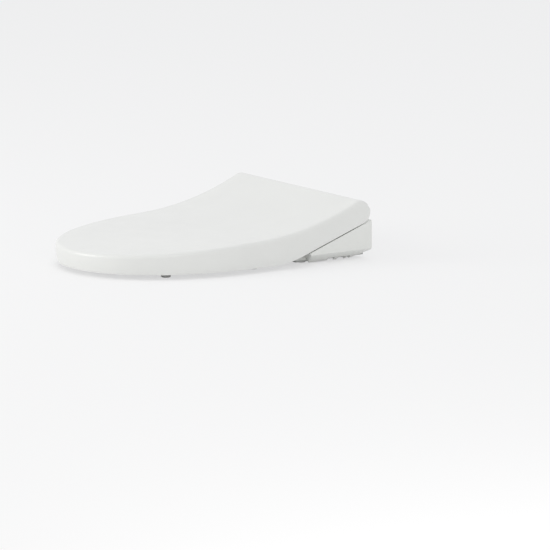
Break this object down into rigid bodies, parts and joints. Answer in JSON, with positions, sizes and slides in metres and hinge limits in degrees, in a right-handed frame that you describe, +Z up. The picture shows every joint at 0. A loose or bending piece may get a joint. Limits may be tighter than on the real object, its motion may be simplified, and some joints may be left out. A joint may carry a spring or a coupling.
{
  "type": "electric bidet seat",
  "caption": "Slim electric bidet seat with a wedge-shaped rear housing, closing lid, heated seat ring, retracting spray wand and warm-air dryer.",
  "frame": {"origin": "middle of the two slots of the mounting bracket, on the plane of the bowl's rim, under the bracket", "axes": "+X to the sitter's left, +Y to the rear, +Z up"},
  "size_m": [0.386, 0.522, 0.1095],
  "materials": {
    "lid_white": "satin-gloss moulded polypropylene",
    "seat_white": "satin-gloss moulded polypropylene",
    "housing_white": "satin-gloss moulded plastic",
    "inner_white": "plain moulded plastic",
    "soft_grey": "soft elastomer",
    "chassis_grey": "glass-filled plastic",
    "black_plastic": "moulded plastic",
    "steel": "brushed",
    "copper_foil": "etched foil laminate",
    "brass": "machined",
    "board_green": "printed circuit laminate",
    "smoke_window": "smoked lens",
    "filter_black": "carbon filter cloth in a frame"
  },
  "bodies": {
    "base": {"base_chassis": "chassis_grey", "base_feet": "soft_grey", "board_posts": "inner_white", "cable_gland": "black_plastic", "control_board": "board_green", "cover_screws": "steel", "dryer_duct": "inner_white", "dryer_element": "steel", "dryer_housing": "black_plastic", "dryer_motor": "steel", "hinge_shaft_left": "steel", "hinge_shaft_right": "steel", "housing_cover": "housing_white", "lid_damper": "black_plastic", "mounting_bracket": "chassis_grey", "odour_fan": "black_plastic", "odour_filter": "filter_black", "power_supply": "black_plastic", "rear_cover": "housing_white", "seat_damper": "black_plastic", "sensor_board": "board_green", "sensor_window": "smoke_window", "side_panel_left": "housing_white", "side_panel_right": "housing_white", "spray_selector": "black_plastic", "switch_board": "board_green", "wand_guide": "chassis_grey", "wand_motor": "steel", "water_heater": "inner_white", "water_inlet": "brass", "water_pump": "black_plastic", "water_valve": "black_plastic"},
    "lid": {"lid_cover": "lid_white", "lid_bumpers": "soft_grey"},
    "seat": {"seat_top_shell": "seat_white", "seat_bottom_plate": "seat_white", "seat_heater": "copper_foil", "seat_bumpers": "soft_grey", "seat_screws": "steel"},
    "wand": {"spray_wand": "inner_white", "spray_tip": "steel"},
    "pinion": {"wand_pinion": "inner_white"},
    "wand_door": {"wand_shutter": "housing_white"},
    "dryer_door": {"dryer_flap": "housing_white"},
    "fan": {"dryer_impeller": "inner_white"},
    "power": {"power_button": "housing_white"},
    "rinse": {"rinse_button": "housing_white"}
  },
  "joints": [
    {"name": "seat_hinge", "type": "hinge", "parent": "base", "child": "seat", "pos_m": [0, 0.035, 0.088], "axis": [-1, 0, 0], "range_deg": [0, 105]},
    {"name": "lid_hinge", "type": "hinge", "parent": "seat", "child": "lid", "pos_m": [0, 0.035, 0.088], "axis": [1, 0, 0], "range_deg": [-105, 0]},
    {"name": "wand_slide", "type": "slide", "parent": "base", "child": "wand", "axis": [0, -0.9848, -0.1736], "range_m": [0, 0.08]},
    {"name": "pinion_spin", "type": "hinge", "parent": "base", "child": "pinion", "pos_m": [0, -0.03071, 0.01723], "axis": [1, 0, 0], "range_deg": [-10, 920]},
    {"name": "wand_door_hinge", "type": "hinge", "parent": "base", "child": "wand_door", "pos_m": [0, -0.0866, 0.033], "axis": [-1, 0, 0], "range_deg": [-0.5, 89]},
    {"name": "dryer_door_hinge", "type": "hinge", "parent": "base", "child": "dryer_door", "pos_m": [0.066, -0.0866, 0.033], "axis": [-1, 0, 0], "range_deg": [0, 85]},
    {"name": "fan_spin", "type": "hinge", "parent": "base", "child": "fan", "pos_m": [0.066, -0.004, 0.02], "axis": [0, 0, 1], "continuous": true},
    {"name": "power_press", "type": "slide", "parent": "base", "child": "power", "axis": [0, 0, -1], "range_m": [0, 0.0015], "stiffness_N_per_m": 400, "springref_m": -0.001},
    {"name": "rinse_press", "type": "slide", "parent": "base", "child": "rinse", "axis": [0, 0, -1], "range_m": [0, 0.0015], "stiffness_N_per_m": 400, "springref_m": -0.001}
  ],
  "couplings": [
    {"joint": "pinion_spin", "follows": "wand_slide", "rad_per_m": 200},
    {"joint": "wand_door_hinge", "follows": "wand_slide", "rad_per_m": 19.199}
  ]
}
